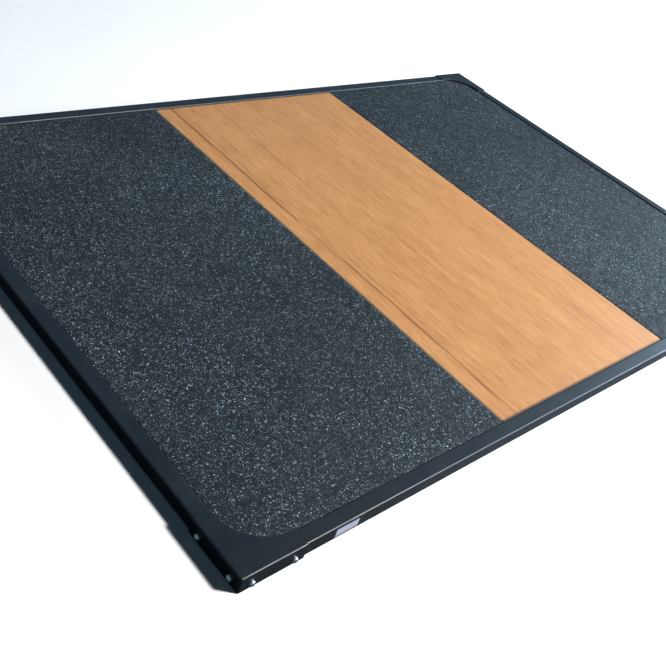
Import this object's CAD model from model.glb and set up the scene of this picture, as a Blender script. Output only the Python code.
"""Weightlifting platform: two granulate rubber mats and a varnished deck in a coated steel frame.

Metres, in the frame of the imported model: +X along the long front rail, +Y from front to back
and +Z up, with the origin on the floor under the platform's centre.
"""
import math

import bmesh
import bpy
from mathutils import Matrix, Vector, noise


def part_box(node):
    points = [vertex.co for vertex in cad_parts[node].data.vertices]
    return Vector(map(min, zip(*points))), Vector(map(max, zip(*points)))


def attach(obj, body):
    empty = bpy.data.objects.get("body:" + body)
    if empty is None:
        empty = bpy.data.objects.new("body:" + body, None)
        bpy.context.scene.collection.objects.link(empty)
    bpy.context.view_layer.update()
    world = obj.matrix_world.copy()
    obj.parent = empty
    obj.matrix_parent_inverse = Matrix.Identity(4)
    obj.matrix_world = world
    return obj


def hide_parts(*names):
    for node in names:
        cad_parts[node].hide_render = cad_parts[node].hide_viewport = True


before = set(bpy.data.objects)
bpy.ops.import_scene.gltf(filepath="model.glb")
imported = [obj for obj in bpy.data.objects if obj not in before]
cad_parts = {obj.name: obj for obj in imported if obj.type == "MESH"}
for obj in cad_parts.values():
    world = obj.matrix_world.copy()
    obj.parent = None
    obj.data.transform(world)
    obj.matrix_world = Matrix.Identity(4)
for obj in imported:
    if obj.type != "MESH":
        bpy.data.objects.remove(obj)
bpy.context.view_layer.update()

MM = 0.001
SIDES = ("left", "right")
CORNERS = ("front_left", "front_right", "back_left", "back_right")

# Places that the finishes need from the built parts
deck_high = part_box("wood_deck")[1]
base_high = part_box("left_base_board")[1]
label_low, label_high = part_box("blank_label")

# The deck and the boards under it
deck_chamfer = 4 * MM
deck_chamfer_blur = 0.3 * MM
deck_end_chamfer = 1 * MM
deck_fray = 1.2 * MM  # how much the planed edges wander, from one side to the other
deck_grime_full = 3 * MM  # from a deck end to where its grime begins to thin
deck_grime_gone = 11 * MM
deck_seal = 0.15  # how much varnish covers the veneer
deck_ply = 1.8 * MM
base_ply = 2.5 * MM

# Darker streaks in the deck's veneer: how far right of its middle, half width, and depth of tone
DECK_STREAKS = (
    (-0.425, 0.012, 0.90),
    (-0.398, 0.006, 0.45),
    (-0.21, 0.006, 0.30),
    (0.06, 0.005, 0.25),
    (0.31, 0.006, 0.30),
)
streak_sway = 30 * MM  # from one side to the other

# The label, measured in from its edges
label_margin = 2 * MM
label_margin_blur = 0.2 * MM
label_grime_reach = 2.5 * MM
label_rule_height = 4.5 * MM  # above its foot
label_rule_solid = 1.4 * MM  # half of the rule's full-strength width
label_rule_gone = 1.8 * MM

# The mats: a round rim, and soft swells over the top, as (layer of noise, length, height)
mat_rim = 2 * MM
mat_rim_steps = 4
mat_pitch = 12.5 * MM  # between the points of a mat's top
mat_sink = 0.2 * MM  # how far the swells' middle level lies under the flat top
MAT_SWELLS = ((0, 0.11, 0.25 * MM), (5, 0.028, 0.20 * MM))
wall_start = 6 * MM  # from a mat's top down to the first row of points under its rim
wall_pitch = 8 * MM
wall_waver = 0.35 * MM
wall_waver_length = 0.06
wall_waver_squash = 20  # the waver changes this much faster down the wall than along it
wall_inset = 0.25 * MM  # keeps most of the waver inside the plain wall
mat_crease = 45  # degrees; a sharper turn is shaded as an edge

# The studio
floor_size = 40.0
floor_divisions = 8
# What the floor throws back at the platform, on its dim left side and on its right
floor_bounce_left = (0.05, 0.06, 0.07)
floor_bounce_right = (0.14, 0.17, 0.20)
bounce_left_end = -1.6  # X where the left side's bounce ends
bounce_right_start = -0.5
floor_lift = 1.35  # takes the lit floor to a clean white
camera_place = Vector((-2.535, -1.808, 1.718))
camera_turn = (51.805, -15.405, -41.067)  # degrees about X, Y and Z
camera_lens = 47.4
camera_reach = 100.0
sensor_width = 36.0
sky_strength = 0.9
sky_fill = 0.07  # its strength where it lights rather than reflects

# ---------------------------------------------------------------- node helpers


def feed(tree, socket, value):
    """Link an output to this input, or set the input's value."""
    if isinstance(value, bpy.types.NodeSocket):
        tree.links.new(value, socket)
    else:
        socket.default_value = value


def put(tree, kind, settings=None, **inputs):
    """Add a node, with its settings and inputs. An input's name has _ for a space."""
    made = tree.nodes.new("ShaderNode" + kind)
    for name, value in (settings or {}).items():
        setattr(made, name, value)
    for name, value in inputs.items():
        feed(tree, made.inputs[name.replace("_", " ")], value)
    return made


def calc(tree, operation, *values, clamp=False):
    """One step of arithmetic."""
    made = put(tree, "Math", {"operation": operation, "use_clamp": clamp})
    for socket, value in zip(made.inputs, values):
        feed(tree, socket, value)
    return made.outputs[0]


def stretch(tree, point, x, y, z):
    """The point with each axis scaled by itself, in features per metre."""
    made = put(tree, "VectorMath", {"operation": "MULTIPLY"})
    feed(tree, made.inputs[0], point)
    made.inputs[1].default_value = (x, y, z)
    return made.outputs[0]


def cloud(tree, point, scale=1.0, detail=2.0, roughness=0.5):
    """Soft noise from 0 to 1, mostly near 0.5."""
    made = put(tree, "TexNoise", Vector=point, Scale=scale, Detail=detail, Roughness=roughness)
    return made.outputs["Fac"]


def ease(tree, value, low, high, start=0.0, stop=1.0):
    """A smooth step from start to stop while the value goes from low to high."""
    made = put(tree, "MapRange", {"interpolation_type": "SMOOTHSTEP"}, Value=value)
    for name, number in zip(("From Min", "From Max", "To Min", "To Max"), (low, high, start, stop)):
        feed(tree, made.inputs[name], number)
    return made.outputs["Result"]


def dye(tree, share, first, second, how="MIX"):
    """The first colour with the second laid over it, by share."""
    made = put(tree, "Mix", {"data_type": "RGBA", "blend_type": how})
    for index, value in ((0, share), (6, first), (7, second)):
        feed(tree, made.inputs[index], value)
    return made.outputs[2]


def blend(tree, share, first, second):
    """A number between two others, by share."""
    made = put(tree, "Mix", {"data_type": "FLOAT"})
    for index, value in ((0, share), (2, first), (3, second)):
        feed(tree, made.inputs[index], value)
    return made.outputs[0]


def tones(tree, value, *stops):
    """A colour from a row of (place, colour) stops."""
    made = put(tree, "ValToRGB", Fac=value)
    ramp = made.color_ramp.elements
    while len(ramp) < len(stops):
        ramp.new(0.5)
    for element, (place, colour) in zip(ramp, stops):
        element.position = place
        element.color = colour
    return made.outputs["Color"]


def relief(tree, height, distance):
    """A surface normal from a height of 0 to 1 that stands for this distance in metres."""
    return put(tree, "Bump", Strength=1.0, Distance=distance, Height=height).outputs["Normal"]


def here(tree):
    """The point on the piece, in metres in the model's frame."""
    return put(tree, "TexCoord").outputs["Object"]


def axes(tree, point):
    """The point's X, Y and Z."""
    return put(tree, "SeparateXYZ", Vector=point).outputs


def rgb(red, green, blue):
    """A linear colour."""
    return (red, green, blue, 1.0)


# ---------------------------------------------------------------- shared effects


def open_group(name, inputs, outputs):
    """A new group with number inputs, a Point, and number outputs."""
    group = bpy.data.node_groups.new(name, "ShaderNodeTree")
    group.interface.new_socket(name="Point", in_out="INPUT", socket_type="NodeSocketVector")
    for label, value in inputs.items():
        socket = group.interface.new_socket(
            name=label, in_out="INPUT", socket_type="NodeSocketFloat"
        )
        socket.default_value = value
    for label in outputs:
        group.interface.new_socket(name=label, in_out="OUTPUT", socket_type="NodeSocketFloat")
    given = group.nodes.new("NodeGroupInput").outputs
    result = group.nodes.new("NodeGroupOutput").inputs
    return group, given, result


def use(tree, group, **inputs):
    """Place a shared effect in a material with its own values."""
    made = tree.nodes.new("ShaderNodeGroup")
    made.node_tree = group
    for name, value in inputs.items():
        feed(tree, made.inputs[name.replace("_", " ")], value)
    return made.outputs


def uneven_gloss_group():
    """Roughness that drifts between two values, with fine mottling on top."""
    tree, given, result = open_group(
        "Uneven gloss", {"Scale": 10.0, "Low": 0.3, "High": 0.5}, ["Roughness"]
    )
    broad = cloud(tree, given["Point"], given["Scale"], detail=3.0)
    fine_scale = calc(tree, "MULTIPLY", given["Scale"], 9.0)
    fine = cloud(tree, given["Point"], fine_scale, detail=2.0)
    mixed = calc(tree, "MULTIPLY_ADD", fine, 0.35, calc(tree, "MULTIPLY", broad, 0.65))
    tree.links.new(ease(tree, mixed, 0.32, 0.68, given["Low"], given["High"]), result["Roughness"])
    return tree


def edge_wear_group():
    """Broken-up wear where a surface turns sharply."""
    tree, given, result = open_group(
        "Edge wear", {"Radius": 0.003, "Patch scale": 40.0, "Amount": 0.5}, ["Mask"]
    )
    rounded = put(tree, "Bevel", {"samples": 4}, Radius=given["Radius"]).outputs["Normal"]
    straight = put(tree, "NewGeometry").outputs["Normal"]
    facing = put(tree, "VectorMath", {"operation": "DOT_PRODUCT"})
    feed(tree, facing.inputs[0], rounded)
    feed(tree, facing.inputs[1], straight)
    turn = ease(tree, facing.outputs["Value"], 0.995, 0.90)
    patches = cloud(tree, given["Point"], given["Patch scale"], detail=4.0, roughness=0.65)
    worn = ease(tree, patches, 0.46, 0.60)
    mask = calc(tree, "MULTIPLY", turn, worn)
    tree.links.new(calc(tree, "MULTIPLY", mask, given["Amount"], clamp=True), result["Mask"])
    return tree


def settled_dust_group():
    """Dust on what faces up, in drifts and specks."""
    tree, given, result = open_group("Settled dust", {"Scale": 6.0, "Amount": 0.3}, ["Mask"])
    up = axes(tree, put(tree, "NewGeometry").outputs["Normal"])["Z"]
    lies_flat = ease(tree, up, 0.45, 0.95)
    broad = cloud(tree, given["Point"], scale=given["Scale"], detail=4.0, roughness=0.6)
    drifts = ease(tree, broad, 0.38, 0.72)
    speck_scale = calc(tree, "MULTIPLY", given["Scale"], 60.0)
    fine = cloud(tree, given["Point"], scale=speck_scale, detail=2.0, roughness=0.5)
    specks = ease(tree, fine, 0.50, 0.74)
    both = calc(tree, "MULTIPLY_ADD", specks, 0.6, calc(tree, "MULTIPLY", drifts, 0.7))
    mask = calc(tree, "MULTIPLY", calc(tree, "MULTIPLY", both, lies_flat), given["Amount"], clamp=True)
    tree.links.new(mask, result["Mask"])
    return tree


def fine_scratches_group():
    """Hairline scratches in three directions, each with its own spread and length."""
    tree, given, result = open_group("Fine scratches", {"Scale": 12.0, "Amount": 0.5}, ["Mask"])
    total = None
    # Turn in degrees, then how close the scratches lie and how short they are
    directions = ((12, 34.0, 0.9), (-31, 46.0, 1.6), (78, 40.0, 1.2))
    for turn, spread, long_way in directions:
        laid = put(tree, "Mapping", Vector=given["Point"], Rotation=(0, 0, math.radians(turn)))
        lines = stretch(tree, laid.outputs["Vector"], spread, long_way, long_way)
        threads = cloud(tree, lines, scale=given["Scale"], detail=1.0, roughness=0.4)
        hair = ease(tree, threads, 0.69, 0.75)
        total = hair if total is None else calc(tree, "MAXIMUM", total, hair)
    patches = cloud(tree, given["Point"], scale=given["Scale"], detail=2.0)
    sparse = ease(tree, patches, 0.45, 0.62)
    mask = calc(tree, "MULTIPLY", calc(tree, "MULTIPLY", total, sparse), given["Amount"], clamp=True)
    tree.links.new(mask, result["Mask"])
    return tree


def rubber_granules_group():
    """Pressed granules: which are pale, their tone, a shade for each, and their relief."""
    tree, given, result = open_group(
        "Rubber granules",
        {"Per metre": 250.0, "Pale share": 0.12, "Pale size": 0.45},
        ["Pale", "Tone", "Shade", "Height"],
    )
    warp = put(tree, "TexNoise", Vector=given["Point"], Scale=given["Per metre"], Detail=1.0)
    centred = put(tree, "VectorMath", {"operation": "SUBTRACT"})
    feed(tree, centred.inputs[0], warp.outputs["Color"])
    centred.inputs[1].default_value = (0.5, 0.5, 0.5)
    # Each outline is bent by up to about half a granule
    reach = calc(tree, "DIVIDE", 1.1, given["Per metre"])
    shifted = put(tree, "VectorMath", {"operation": "MULTIPLY_ADD"})
    feed(tree, shifted.inputs[0], centred.outputs[0])
    feed(tree, shifted.inputs[1], reach)
    feed(tree, shifted.inputs[2], given["Point"])
    cells = put(tree, "TexVoronoi", Vector=shifted.outputs[0], Scale=given["Per metre"])
    chance = put(tree, "SeparateColor", Color=cells.outputs["Color"]).outputs
    chosen = calc(tree, "LESS_THAN", chance["Red"], given["Pale share"])
    variety = ease(tree, chance["Blue"], 0.0, 1.0, start=0.55, stop=1.25)
    size = calc(tree, "MULTIPLY", given["Pale size"], variety)
    # A pale granule fades out from just inside its size to just outside it
    outer = calc(tree, "ADD", size, 0.10)
    inner = calc(tree, "SUBTRACT", size, 0.06)
    shape = ease(tree, cells.outputs["Distance"], outer, inner)
    tree.links.new(calc(tree, "MULTIPLY", chosen, shape), result["Pale"])
    tree.links.new(chance["Green"], result["Tone"])
    tree.links.new(chance["Blue"], result["Shade"])
    dome = ease(tree, cells.outputs["Distance"], 0.75, 0.1)
    height = calc(tree, "MULTIPLY_ADD", dome, 0.6, calc(tree, "MULTIPLY", chance["Green"], 0.4))
    tree.links.new(height, result["Height"])
    return tree


def wood_figure_group():
    """Straight grain along Y: a tone from 0 to 1, dark lines, open pores and a fibre relief."""
    tree, given, result = open_group(
        "Wood figure",
        {"Band scale": 9.0, "Fibre scale": 420.0, "Waver": 0.012},
        ["Tone", "Lines", "Pores", "Height"],
    )
    x, y, z = axes(tree, given["Point"])
    sway = cloud(tree, stretch(tree, given["Point"], 0.7, 1.1, 0.7), detail=2.0)
    sway = calc(tree, "MULTIPLY", calc(tree, "SUBTRACT", sway, 0.5), given["Waver"])
    swayed = calc(tree, "ADD", x, sway)

    def along_grain(across, down, detail, roughness=0.5):
        point = put(
            tree, "CombineXYZ",
            X=calc(tree, "MULTIPLY", swayed, across),
            Y=calc(tree, "MULTIPLY", y, down),
            Z=z,
        ).outputs[0]
        return cloud(tree, point, detail=detail, roughness=roughness)

    bands = along_grain(given["Band scale"], 0.35, 2.0)
    ribbons = along_grain(calc(tree, "MULTIPLY", given["Band scale"], 7.0), 1.0, 3.0, 0.6)
    threads = along_grain(calc(tree, "MULTIPLY", given["Band scale"], 21.0), 2.2, 2.0, 0.6)
    fibres = along_grain(given["Fibre scale"], 9.0, 3.0, 0.6)
    hairs = along_grain(calc(tree, "MULTIPLY", given["Fibre scale"], 2.6), 26.0, 1.0)
    mottle = along_grain(calc(tree, "MULTIPLY", given["Band scale"], 2.2), 9.0, 3.0)
    total = calc(tree, "MULTIPLY", bands, 0.10)
    weights = ((ribbons, 0.08), (threads, 0.18), (fibres, 0.42), (hairs, 0.12), (mottle, 0.10))
    for layer, weight in weights:
        total = calc(tree, "MULTIPLY_ADD", layer, weight, total)
    tree.links.new(ease(tree, total, 0.39, 0.61), result["Tone"])
    lines = along_grain(calc(tree, "MULTIPLY", given["Fibre scale"], 0.6), 10.0, 2.0, 0.55)
    tree.links.new(ease(tree, lines, 0.58, 0.70), result["Lines"])
    dashes = along_grain(calc(tree, "MULTIPLY", given["Fibre scale"], 1.7), 34.0, 1.0)
    tree.links.new(ease(tree, dashes, 0.66, 0.76), result["Pores"])
    height = calc(tree, "MULTIPLY_ADD", fibres, 0.7, calc(tree, "MULTIPLY", hairs, 0.3))
    tree.links.new(height, result["Height"])
    return tree


def ply_layers_group():
    """Plywood seen from its edge: every second layer, and the glue lines between layers."""
    tree, given, result = open_group(
        "Ply layers", {"Depth": 0.0, "Layer": 0.002}, ["Cross layer", "Glue line"]
    )
    ripple = calc(tree, "SUBTRACT", cloud(tree, given["Point"], scale=40.0, detail=3.0), 0.5)
    depth = calc(tree, "MULTIPLY_ADD", ripple, 0.0006, given["Depth"])
    count = calc(tree, "DIVIDE", depth, given["Layer"])
    halves = calc(tree, "FRACT", calc(tree, "MULTIPLY", count, 0.5))
    tree.links.new(calc(tree, "GREATER_THAN", halves, 0.5), result["Cross layer"])
    tree.links.new(ease(tree, calc(tree, "FRACT", count), 0.86, 0.93), result["Glue line"])
    return tree


UNEVEN_GLOSS = uneven_gloss_group()
EDGE_WEAR = edge_wear_group()
SETTLED_DUST = settled_dust_group()
FINE_SCRATCHES = fine_scratches_group()
RUBBER_GRANULES = rubber_granules_group()
WOOD_FIGURE = wood_figure_group()
PLY_LAYERS = ply_layers_group()

# ---------------------------------------------------------------- finishes


def open_finish(name, **constants):
    """A new material and its Principled shader, with the shader's plain values."""
    made = bpy.data.materials.new(name)
    made.use_nodes = True
    tree = made.node_tree
    shader = tree.nodes["Principled BSDF"]
    for label, value in constants.items():
        shader.inputs[label.replace("_", " ")].default_value = value
    return made, tree, shader.inputs


def powder_coat():
    """Satin black powder coat: orange peel, dust, hairlines, and edges rubbed to the steel."""
    made, tree, shader = open_finish("black powder coat", Specular_IOR_Level=0.5)
    point = here(tree)
    worn = use(tree, EDGE_WEAR, Point=point, Radius=2.5 * MM, Patch_scale=55.0, Amount=0.55)["Mask"]
    dust = use(tree, SETTLED_DUST, Point=point, Scale=5.0, Amount=0.06)["Mask"]
    scratched = use(tree, FINE_SCRATCHES, Point=point, Scale=9.0, Amount=0.20)["Mask"]
    drift = cloud(tree, point, scale=3.0, detail=3.0)
    coat = tones(
        tree, drift,
        (0.3, rgb(0.0040, 0.0060, 0.0085)),
        (0.7, rgb(0.0065, 0.0090, 0.0120)),
    )
    pale_hairline = rgb(0.05, 0.06, 0.07)
    grey_dust = rgb(0.12, 0.15, 0.17)
    dull_steel = rgb(0.13, 0.15, 0.18)
    coat = dye(tree, scratched, coat, pale_hairline)
    coat = dye(tree, dust, coat, grey_dust)
    coat = dye(tree, worn, coat, dull_steel)
    feed(tree, shader["Base Color"], coat)
    gloss = use(tree, UNEVEN_GLOSS, Point=point, Scale=14.0, Low=0.36, High=0.47)["Roughness"]
    dulled = calc(tree, "MULTIPLY_ADD", dust, 0.5, gloss)
    feed(tree, shader["Roughness"], calc(tree, "MULTIPLY_ADD", scratched, 0.12, dulled, clamp=True))
    feed(tree, shader["Metallic"], calc(tree, "MULTIPLY", worn, 0.5))
    peel = cloud(tree, point, scale=320.0, detail=2.0, roughness=0.45)
    cut = calc(tree, "SUBTRACT", peel, calc(tree, "MULTIPLY", scratched, 0.5))
    feed(tree, shader["Normal"], relief(tree, cut, 0.06 * MM))
    return made


def flecked_rubber():
    """Black granulate pressed with pale flecks in loose clusters, lighter where it is trodden."""
    made, tree, shader = open_finish("flecked granulate rubber", Specular_IOR_Level=0.35)
    point = here(tree)
    coarse = use(
        tree, RUBBER_GRANULES, Point=point, Per_metre=230.0, Pale_share=0.23, Pale_size=0.40
    )
    fine = use(
        tree, RUBBER_GRANULES, Point=point, Per_metre=400.0, Pale_share=0.22, Pale_size=0.42
    )
    ground = tones(
        tree, fine["Shade"],
        (0.0, rgb(0.0018, 0.0028, 0.0038)),
        (0.6, rgb(0.0034, 0.0050, 0.0064)),
        (1.0, rgb(0.0085, 0.0118, 0.0142)),
    )
    fleck_stops = (
        (0.0, rgb(0.25, 0.34, 0.42)),
        (0.35, rgb(0.08, 0.115, 0.14)),
        (0.55, rgb(0.07, 0.12, 0.11)),
        (0.75, rgb(0.09, 0.14, 0.22)),
        (0.90, rgb(0.28, 0.34, 0.35)),
        (1.0, rgb(0.62, 0.74, 0.84)),
    )
    ground = dye(tree, fine["Pale"], ground, tones(tree, fine["Tone"], *fleck_stops))
    ground = dye(tree, coarse["Pale"], ground, tones(tree, coarse["Tone"], *fleck_stops))
    paths = cloud(tree, point, scale=1.6, detail=4.0, roughness=0.6)
    trodden = ease(tree, paths, 0.30, 0.72, start=0.75, stop=1.25)
    clusters = cloud(tree, point, scale=75.0, detail=3.0, roughness=0.6)
    clustered = ease(tree, clusters, 0.36, 0.64, start=0.45, stop=1.6)
    level = calc(tree, "MULTIPLY", trodden, clustered)
    shade = put(tree, "CombineColor", Red=level, Green=level, Blue=level).outputs[0]
    ground = dye(tree, 1.0, ground, shade, "MULTIPLY")
    dust = use(tree, SETTLED_DUST, Point=point, Scale=2.2, Amount=0.05)["Mask"]
    grey_dust = rgb(0.15, 0.17, 0.18)
    feed(tree, shader["Base Color"], dye(tree, dust, ground, grey_dust))
    gloss = use(tree, UNEVEN_GLOSS, Point=point, Scale=30.0, Low=0.60, High=0.80)["Roughness"]
    feed(tree, shader["Roughness"], gloss)
    fine_height = calc(tree, "MULTIPLY", fine["Height"], 0.4)
    height = calc(tree, "MULTIPLY_ADD", coarse["Height"], 0.6, fine_height)
    feed(tree, shader["Normal"], relief(tree, height, 0.35 * MM))
    return made


def underlay_rubber():
    """Plain granulate under the deck, with a few grey crumbs."""
    made, tree, shader = open_finish("underlay granulate rubber", Specular_IOR_Level=0.3)
    point = here(tree)
    crumbs = use(
        tree, RUBBER_GRANULES, Point=point, Per_metre=300.0, Pale_share=0.04, Pale_size=0.4
    )
    ground = tones(
        tree, crumbs["Shade"], (0.0, rgb(0.010, 0.010, 0.011)), (1.0, rgb(0.040, 0.040, 0.042))
    )
    grey_crumb = rgb(0.20, 0.22, 0.24)
    feed(tree, shader["Base Color"], dye(tree, crumbs["Pale"], ground, grey_crumb))
    gloss = use(tree, UNEVEN_GLOSS, Point=point, Scale=40.0, Low=0.80, High=0.95)["Roughness"]
    feed(tree, shader["Roughness"], gloss)
    feed(tree, shader["Normal"], relief(tree, crumbs["Height"], 0.5 * MM))
    return made


def varnished_deck():
    """Varnished veneer on plywood, with pale layers bared where its edges are planed."""
    made, tree, shader = open_finish(
        "varnished deck veneer", Specular_IOR_Level=0.3, Coat_Roughness=0.35, Coat_IOR=1.5
    )
    point = here(tree)
    x, y, z = axes(tree, point)
    figure = use(tree, WOOD_FIGURE, Point=point, Band_scale=8.0, Fibre_scale=420.0, Waver=0.014)
    veneer = tones(
        tree, figure["Tone"],
        (0.0, rgb(0.385, 0.162, 0.055)),
        (0.35, rgb(0.510, 0.235, 0.084)),
        (0.70, rgb(0.572, 0.276, 0.104)),
        (1.0, rgb(0.640, 0.330, 0.136)),
    )
    dark_line = rgb(0.30, 0.12, 0.036)
    dark_pore = rgb(0.25, 0.10, 0.035)
    dark_streak = rgb(0.24, 0.085, 0.024)
    veneer = dye(tree, calc(tree, "MULTIPLY", figure["Lines"], 0.55), veneer, dark_line)
    veneer = dye(tree, calc(tree, "MULTIPLY", figure["Pores"], 0.45), veneer, dark_pore)
    sway = cloud(tree, stretch(tree, point, 0.0, 1.4, 0.0), detail=3.0)
    streaks = None
    for place, half_width, depth in DECK_STREAKS:
        centre = calc(tree, "MULTIPLY_ADD", sway, streak_sway, place - streak_sway / 2)
        away = calc(tree, "ABSOLUTE", calc(tree, "SUBTRACT", x, centre))
        line = ease(tree, away, half_width, 0.0, stop=depth)
        streaks = line if streaks is None else calc(tree, "MAXIMUM", streaks, line)
    gaps = cloud(tree, stretch(tree, point, 60.0, 5.0, 1.0), detail=3.0)
    broken = ease(tree, gaps, 0.35, 0.55)
    veneer = dye(tree, calc(tree, "MULTIPLY", streaks, broken), veneer, dark_streak)
    layers = use(
        tree, PLY_LAYERS, Point=point, Depth=calc(tree, "SUBTRACT", deck_high.z, z), Layer=deck_ply
    )
    side = dye(tree, layers["Cross layer"], rgb(0.78, 0.64, 0.44), rgb(0.68, 0.52, 0.33))
    side = dye(tree, layers["Glue line"], side, rgb(0.40, 0.26, 0.14))
    wander = calc(tree, "SUBTRACT", cloud(tree, point, scale=90.0, detail=3.0), 0.5)
    fray = calc(tree, "MULTIPLY", wander, deck_fray)
    to_side = calc(tree, "SUBTRACT", deck_high.x, calc(tree, "ABSOLUTE", x))
    to_side = calc(tree, "ADD", to_side, fray)
    to_end = calc(tree, "SUBTRACT", deck_high.y, calc(tree, "ABSOLUTE", y))
    to_end = calc(tree, "ADD", to_end, fray)
    planed = calc(
        tree, "MAXIMUM",
        ease(tree, to_side, deck_chamfer + deck_chamfer_blur, deck_chamfer - deck_chamfer_blur),
        ease(tree, to_end, deck_end_chamfer, 0.0),
    )
    bare = dye(tree, planed, veneer, side)
    grimy = ease(tree, to_end, deck_grime_gone, deck_grime_full, stop=0.85)
    dark_grime = rgb(0.08, 0.045, 0.030)
    feed(tree, shader["Base Color"], dye(tree, grimy, bare, dark_grime))
    scratched = use(tree, FINE_SCRATCHES, Point=point, Scale=7.0, Amount=0.5)["Mask"]
    gloss = use(tree, UNEVEN_GLOSS, Point=point, Scale=6.0, Low=0.44, High=0.56)["Roughness"]
    gloss = calc(tree, "MULTIPLY_ADD", scratched, 0.15, gloss)
    feed(tree, shader["Roughness"], blend(tree, planed, gloss, 0.7))
    sealed = calc(tree, "SUBTRACT", deck_seal, calc(tree, "MULTIPLY", planed, deck_seal))
    feed(tree, shader["Coat Weight"], sealed)
    pore_depth = calc(tree, "MULTIPLY", figure["Pores"], 0.6)
    open_grain = calc(tree, "SUBTRACT", figure["Height"], pore_depth)
    feed(tree, shader["Normal"], relief(tree, open_grain, 0.05 * MM))
    return made


def base_plywood():
    """Unfinished softwood plywood, with its layers along the edges."""
    made, tree, shader = open_finish("base plywood", Specular_IOR_Level=0.3)
    point = here(tree)
    figure = use(tree, WOOD_FIGURE, Point=point, Band_scale=14.0, Fibre_scale=260.0, Waver=0.05)
    face = tones(
        tree, figure["Tone"], (0.0, rgb(0.42, 0.28, 0.15)), (1.0, rgb(0.66, 0.50, 0.31))
    )
    face = dye(tree, calc(tree, "MULTIPLY", figure["Pores"], 0.35), face, rgb(0.22, 0.13, 0.07))
    depth = calc(tree, "SUBTRACT", base_high.z, axes(tree, point)["Z"])
    layers = use(tree, PLY_LAYERS, Point=point, Depth=depth, Layer=base_ply)
    side = dye(tree, layers["Cross layer"], rgb(0.62, 0.46, 0.28), rgb(0.44, 0.29, 0.16))
    side = dye(tree, layers["Glue line"], side, rgb(0.16, 0.09, 0.05))
    up = calc(tree, "ABSOLUTE", axes(tree, put(tree, "NewGeometry").outputs["Normal"])["Z"])
    feed(tree, shader["Base Color"], dye(tree, ease(tree, up, 0.7, 0.5), face, side))
    gloss = use(tree, UNEVEN_GLOSS, Point=point, Scale=8.0, Low=0.68, High=0.85)["Roughness"]
    feed(tree, shader["Roughness"], gloss)
    feed(tree, shader["Normal"], relief(tree, figure["Height"], 0.15 * MM))
    return made


def zinc_plate():
    """Bright zinc plate, clouded, scratched and dull in places."""
    made, tree, shader = open_finish("zinc plate", Metallic=1.0)
    point = here(tree)
    worn = use(tree, EDGE_WEAR, Point=point, Radius=0.8 * MM, Patch_scale=300.0, Amount=0.6)["Mask"]
    scratched = use(tree, FINE_SCRATCHES, Point=point, Scale=60.0, Amount=0.6)["Mask"]
    clouded = cloud(tree, point, scale=180.0, detail=4.0, roughness=0.6)
    plate = tones(
        tree, clouded,
        (0.30, rgb(0.42, 0.45, 0.47)),
        (0.55, rgb(0.60, 0.63, 0.64)),
        (0.75, rgb(0.70, 0.71, 0.66)),
    )
    plate = dye(tree, scratched, plate, rgb(0.82, 0.83, 0.84))
    feed(tree, shader["Base Color"], dye(tree, worn, plate, rgb(0.40, 0.41, 0.42)))
    gloss = use(tree, UNEVEN_GLOSS, Point=point, Scale=160.0, Low=0.24, High=0.42)["Roughness"]
    feed(tree, shader["Roughness"], gloss)
    feed(tree, shader["Normal"], relief(tree, cloud(tree, point, scale=1400.0, detail=2.0), 0.02 * MM))
    return made


def mill_steel():
    """Plain drawn steel with an oiled, scaly surface."""
    made, tree, shader = open_finish("mill steel", Metallic=1.0)
    point = here(tree)
    scratched = use(tree, FINE_SCRATCHES, Point=point, Scale=30.0, Amount=0.5)["Mask"]
    scale = cloud(tree, point, scale=90.0, detail=5.0, roughness=0.65)
    metal = tones(
        tree, scale,
        (0.35, rgb(0.16, 0.15, 0.15)),
        (0.55, rgb(0.34, 0.34, 0.34)),
        (0.75, rgb(0.30, 0.24, 0.19)),
    )
    feed(tree, shader["Base Color"], dye(tree, scratched, metal, rgb(0.55, 0.55, 0.56)))
    gloss = use(tree, UNEVEN_GLOSS, Point=point, Scale=70.0, Low=0.38, High=0.62)["Roughness"]
    feed(tree, shader["Roughness"], gloss)
    feed(tree, shader["Normal"], relief(tree, scale, 0.04 * MM))
    return made


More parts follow.
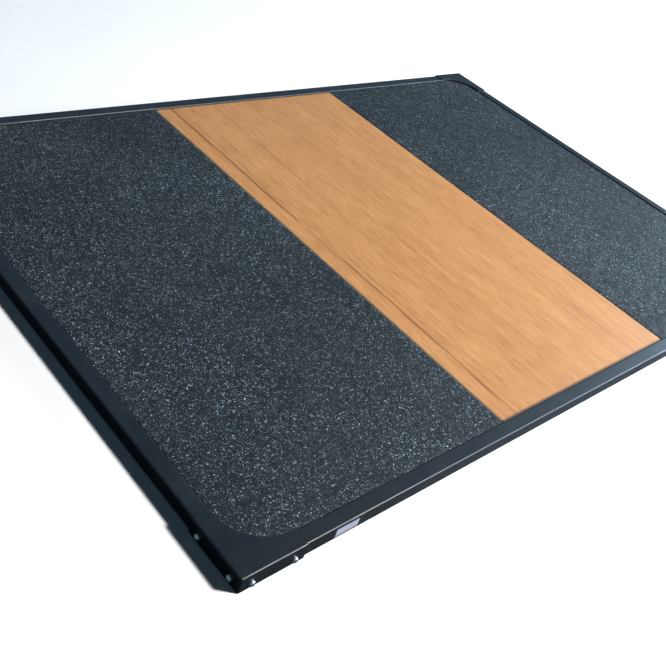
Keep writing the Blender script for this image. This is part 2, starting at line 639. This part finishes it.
def label_film():
    """Blank printed film: a pale field, a thin dark red rule near the foot and scuffed edges."""
    made, tree, shader = open_finish(
        "label film", Specular_IOR_Level=0.5, Coat_Roughness=0.12, Coat_IOR=1.5
    )
    point = here(tree)
    x, _, z = axes(tree, point)
    middle = (label_low + label_high) / 2
    half_length = (label_high.x - label_low.x) / 2
    half_height = (label_high.z - label_low.z) / 2
    off_middle_x = calc(tree, "ABSOLUTE", calc(tree, "SUBTRACT", x, middle.x))
    off_middle_z = calc(tree, "ABSOLUTE", calc(tree, "SUBTRACT", z, middle.z))
    to_end = calc(tree, "SUBTRACT", half_length, off_middle_x)
    to_edge = calc(tree, "SUBTRACT", half_height, off_middle_z)
    margin = calc(tree, "MINIMUM", to_end, to_edge)
    field = tones(
        tree, cloud(tree, point, scale=30.0, detail=3.0),
        (0.3, rgb(0.48, 0.53, 0.68)),
        (0.7, rgb(0.58, 0.62, 0.76)),
    )
    above_foot = calc(tree, "SUBTRACT", z, label_low.z)
    off_rule = calc(tree, "ABSOLUTE", calc(tree, "SUBTRACT", above_foot, label_rule_height))
    rule = ease(tree, off_rule, label_rule_gone, label_rule_solid)
    inside = ease(tree, margin, label_margin - label_margin_blur, label_margin + label_margin_blur)
    dark_red = rgb(0.30, 0.035, 0.045)
    rubbed_grey = rgb(0.55, 0.56, 0.58)
    grimy_grey = rgb(0.25, 0.25, 0.26)
    field = dye(tree, calc(tree, "MULTIPLY", rule, inside), field, dark_red)
    scuffed = use(tree, FINE_SCRATCHES, Point=point, Scale=40.0, Amount=0.7)["Mask"]
    grime = calc(tree, "MULTIPLY", ease(tree, margin, label_grime_reach, 0.0), 0.5)
    field = dye(tree, scuffed, field, rubbed_grey)
    feed(tree, shader["Base Color"], dye(tree, grime, field, grimy_grey))
    gloss = use(tree, UNEVEN_GLOSS, Point=point, Scale=60.0, Low=0.22, High=0.36)["Roughness"]
    feed(tree, shader["Roughness"], calc(tree, "MULTIPLY_ADD", scuffed, 0.2, gloss))
    lost_film = calc(tree, "MULTIPLY", scuffed, 0.3)
    feed(tree, shader["Coat Weight"], calc(tree, "SUBTRACT", 0.4, lost_film))
    feed(tree, shader["Normal"], relief(tree, cloud(tree, point, scale=260.0, detail=2.0), 0.03 * MM))
    return made


def studio_floor():
    """A plain pale floor that throws little light back at what stands on it."""
    made, tree, shader = open_finish("studio floor", Specular_IOR_Level=0.2)
    point = here(tree)
    pale = tones(
        tree, cloud(tree, point, scale=1.2, detail=4.0),
        (0.3, rgb(0.83, 0.83, 0.83)),
        (0.7, rgb(0.87, 0.87, 0.87)),
    )
    pale = dye(tree, 1.0, pale, rgb(floor_lift, floor_lift, floor_lift), "MULTIPLY")
    seen = put(tree, "LightPath").outputs["Is Camera Ray"]
    rightward = ease(tree, axes(tree, point)["X"], bounce_left_end, bounce_right_start)
    bounce = dye(tree, rightward, rgb(*floor_bounce_left), rgb(*floor_bounce_right))
    feed(tree, shader["Base Color"], dye(tree, seen, bounce, pale))
    gloss = use(tree, UNEVEN_GLOSS, Point=point, Scale=4.0, Low=0.7, High=0.8)["Roughness"]
    feed(tree, shader["Roughness"], gloss)
    return made


# ---------------------------------------------------------------- shapes


def new_piece(name, mesh, finish):
    """Link a mesh to the scene as a piece with one finish."""
    piece = bpy.data.objects.new(name, mesh)
    piece.data.materials.append(finish)
    bpy.context.collection.objects.link(piece)
    return piece


def steps(start, stop, pitch):
    """Evenly spaced places from start to stop, about a pitch apart."""
    count = max(1, round((stop - start) / pitch))
    return [start + (stop - start) * i / count for i in range(count + 1)]


def uneven(point, period, amount):
    """A soft random height at a point."""
    return amount * noise.noise(Vector(point) / period)


def rubber_mat(side, finish):
    """A pressed mat: a slightly uneven top, a worn rim and edges that waver a little."""
    low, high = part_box(f"{side}_rubber_mat")
    columns = steps(low.x + mat_rim, high.x - mat_rim, mat_pitch)
    rows = steps(low.y + mat_rim, high.y - mat_rim, mat_pitch)
    shape = bmesh.new()
    top = {}
    for i, x in enumerate(columns):
        for j, y in enumerate(rows):
            lift = sum(uneven((x, y, layer), length, height) for layer, length, height in MAT_SWELLS)
            top[i, j] = shape.verts.new((x, y, high.z - mat_sink + lift))
    for i in range(len(columns) - 1):
        for j in range(len(rows) - 1):
            shape.faces.new((top[i, j], top[i + 1, j], top[i + 1, j + 1], top[i, j + 1]))
    last_i, last_j = len(columns) - 1, len(rows) - 1
    # Once round the top's outer points, and which way each of them faces
    round_trip = [(i, 0) for i in range(last_i)] + [(last_i, j) for j in range(last_j)]
    round_trip += [(i, last_j) for i in range(last_i, 0, -1)] + [(0, j) for j in range(last_j, 0, -1)]
    outward = [Vector(((i == last_i) - (i == 0), (j == last_j) - (j == 0), 0)) for i, j in round_trip]
    ring = [top[place] for place in round_trip]
    starts = [vert.co.copy() for vert in ring]
    # The rim's quarter round and then the wall, as how far out and how far down
    profile = []
    for step in range(1, mat_rim_steps + 1):
        turn = math.pi / 2 * step / mat_rim_steps
        profile.append((mat_rim * math.sin(turn), mat_rim * (1 - math.cos(turn))))
    profile += [(mat_rim, drop) for drop in steps(wall_start, high.z - low.z, wall_pitch)]
    for reach, drop in profile:
        made = []
        for start, out in zip(starts, outward):
            on_wall = (start.x, start.y, drop * wall_waver_squash)
            waver = uneven(on_wall, wall_waver_length, wall_waver) - wall_inset
            spot = start + out * (reach + waver)
            made.append(shape.verts.new((spot.x, spot.y, max(low.z, start.z - drop))))
        for k in range(len(ring)):
            after = (k + 1) % len(ring)
            shape.faces.new((ring[k], made[k], made[after], ring[after]))
        ring = made
    shape.faces.new(ring)
    bmesh.ops.recalc_face_normals(shape, faces=shape.faces)
    mesh = bpy.data.meshes.new(f"{side}_granulate_mat")
    shape.to_mesh(mesh)
    shape.free()
    mesh.polygons.foreach_set("use_smooth", [True] * len(mesh.polygons))
    mesh.set_sharp_from_angle(angle=math.radians(mat_crease))
    return new_piece(f"{side}_granulate_mat", mesh, finish)


# ---------------------------------------------------------------- put it together

coat = powder_coat()
rubber = flecked_rubber()
zinc = zinc_plate()
steel = mill_steel()
plywood = base_plywood()
finish_of = {
    "wood_deck": varnished_deck(),
    "deck_underlay": underlay_rubber(),
    "blank_label": label_film(),
}
for side in SIDES:
    finish_of[f"{side}_base_board"] = plywood
for rail in ("front", "back", "left", "right"):
    finish_of[f"{rail}_rail"] = coat
for corner in CORNERS:
    finish_of[f"{corner}_corner_bracket"] = coat
    finish_of[f"{corner}_bolts"] = zinc
    finish_of[f"{corner}_washers"] = zinc
    finish_of[f"{corner}_nut_bars"] = steel

for name, finish in finish_of.items():
    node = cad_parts[name]
    for slot in node.material_slots:
        slot.material = finish

for side in SIDES:
    mat = rubber_mat(side, rubber)
    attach(mat, "root")
    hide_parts(f"{side}_rubber_mat")

# ---------------------------------------------------------------- studio


def lay_floor():
    """A wide floor at the platform's foot."""
    mesh = bpy.data.meshes.new("studio_floor")
    shape = bmesh.new()
    bmesh.ops.create_grid(
        shape, x_segments=floor_divisions, y_segments=floor_divisions, size=floor_size / 2
    )
    shape.to_mesh(mesh)
    shape.free()
    floor = new_piece("studio_floor", mesh, studio_floor())


def hang_softbox(name, place, aim, width, height, watts, tint):
    """A soft light at a place, facing a point, upright."""
    light = bpy.data.lights.new(name, "AREA")
    light.shape = "RECTANGLE"
    light.size = width
    light.size_y = height
    light.energy = watts
    light.color = tint
    lamp = bpy.data.objects.new(name, light)
    lamp.location = place
    lamp.rotation_euler = (Vector(aim) - Vector(place)).to_track_quat("-Z", "Y").to_euler()
    bpy.context.collection.objects.link(lamp)


def set_camera():
    """Look down at the platform from beyond its front left corner."""
    data = bpy.data.cameras.new("camera")
    data.lens = camera_lens
    data.sensor_width = sensor_width
    data.clip_end = camera_reach
    camera = bpy.data.objects.new("camera", data)
    camera.location = camera_place
    camera.rotation_euler = [math.radians(turn) for turn in camera_turn]
    bpy.context.collection.objects.link(camera)
    bpy.context.scene.camera = camera


def set_sky():
    """Cool sky from all round, brighter low down. It shows in reflections but lights little."""
    world = bpy.data.worlds.new("studio")
    world.use_nodes = True
    tree = world.node_tree
    way = axes(tree, put(tree, "TexCoord").outputs["Generated"])
    glow = tones(
        tree, way["Z"],
        (0.0, rgb(0.27, 0.37, 0.50)),
        (0.35, rgb(0.20, 0.31, 0.44)),
        (0.75, rgb(0.17, 0.285, 0.385)),
        (1.0, rgb(0.14, 0.225, 0.30)),
    )
    sky = tree.nodes["Background"].inputs
    feed(tree, sky["Color"], glow)
    fills = put(tree, "LightPath").outputs["Is Diffuse Ray"]
    feed(tree, sky["Strength"], blend(tree, fills, sky_strength, sky_fill))
    bpy.context.scene.world = world


lay_floor()
set_camera()
set_sky()
hang_softbox(
    "key", place=(3.2, -5.2, 5.7), aim=(0.2, -0.2, 0.0),
    width=1.1, height=1.1, watts=1060.0, tint=(1.0, 1.0, 1.0),
)
hang_softbox(
    "window", place=(6.9, -1.9, 2.7), aim=(0.4, -0.8, 0.0),
    width=5.6, height=2.6, watts=370.0, tint=(0.58, 0.80, 1.0),
)
hang_softbox(
    "rim", place=(6.6, -3.9, 2.0), aim=(0.4, -0.9, 0.0),
    width=1.6, height=0.8, watts=260.0, tint=(0.72, 0.86, 1.0),
)
bpy.context.scene.view_settings.view_transform = "Standard"
